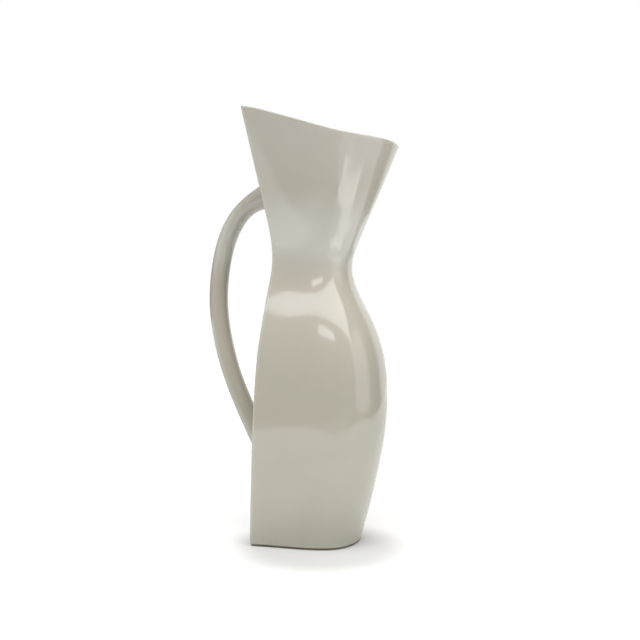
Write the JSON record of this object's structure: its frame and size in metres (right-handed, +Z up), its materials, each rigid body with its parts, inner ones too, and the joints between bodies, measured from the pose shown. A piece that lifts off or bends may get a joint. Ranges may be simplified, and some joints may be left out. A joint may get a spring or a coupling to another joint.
{
  "type": "pitcher",
  "caption": "Tall glazed ceramic pitcher with a flat back, sharp back corners, pinched waist, full belly, scooped rim and oval loop handle.",
  "frame": {"origin": "on the table, in the plane that the foot ring rests on, in the middle plane of the vessel, 44 mm in front of the back slab's foot", "axes": "+Z up, +X towards the pouring lip with the handle on -X, +Y across the vessel"},
  "size_m": [0.1605, 0.1198, 0.3382],
  "materials": {
    "glaze": "gloss",
    "bare_clay": "matte"
  },
  "bodies": {
    "root": {"front_wall": "glaze", "back_wall": "glaze", "floor": "glaze", "floor_coil": "glaze", "seam_coil_left": "glaze", "seam_coil_right": "glaze", "handle": "glaze", "upper_handle_coil": "glaze", "lower_handle_coil": "glaze", "foot_ring": "bare_clay"}
  },
  "joints": []
}
